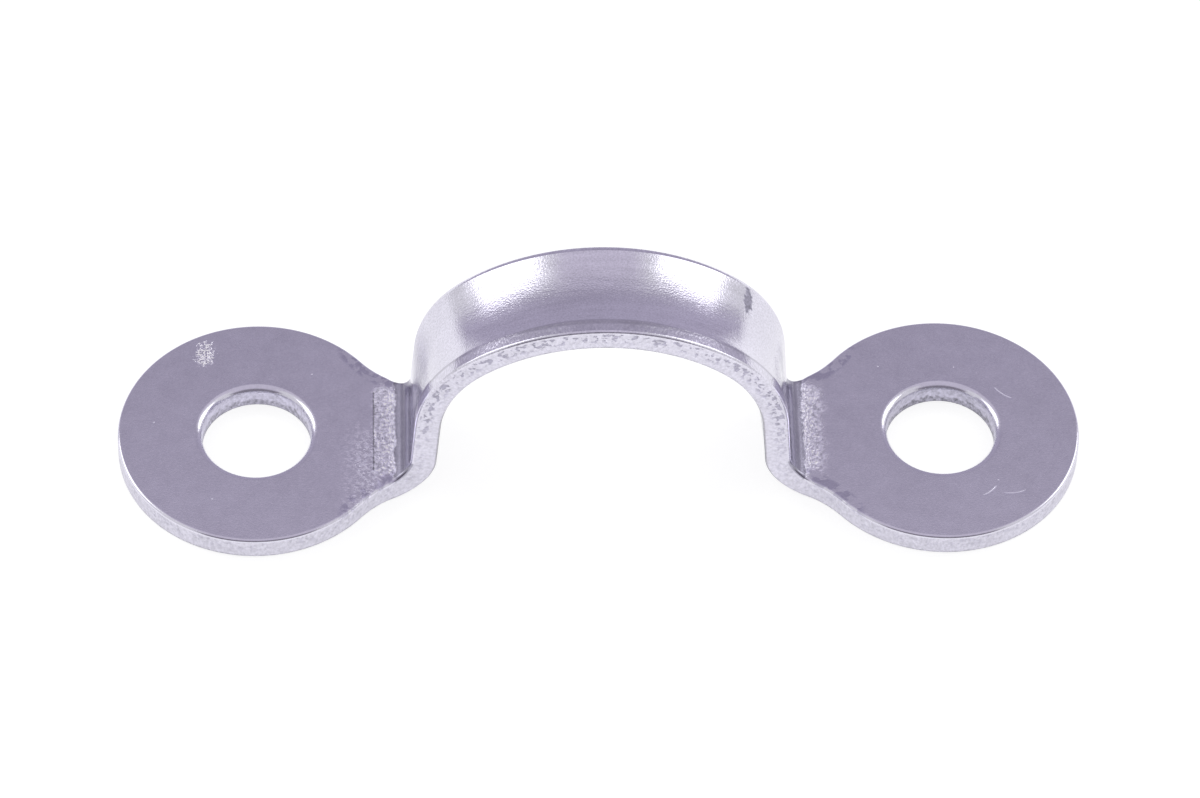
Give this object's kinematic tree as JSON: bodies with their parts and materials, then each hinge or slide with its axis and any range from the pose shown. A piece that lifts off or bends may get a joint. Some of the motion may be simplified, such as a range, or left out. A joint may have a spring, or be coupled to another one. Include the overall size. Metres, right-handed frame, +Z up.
{
  "type": "eye strap",
  "caption": "Stainless eye strap: a narrow strip bent into a low arched bridge on short legs, with a round, drilled ear at each end.",
  "frame": {"origin": "midway between the two screw holes, on the plane of the ears' undersides", "axes": "+X along the strap from ear to ear, +Y across the band, +Z up from the deck through the top of the bridge"},
  "size_m": [0.0468, 0.0134, 0.012],
  "materials": {
    "stainless": "polished"
  },
  "bodies": {
    "root": {"eye_strap": "stainless"}
  },
  "joints": []
}
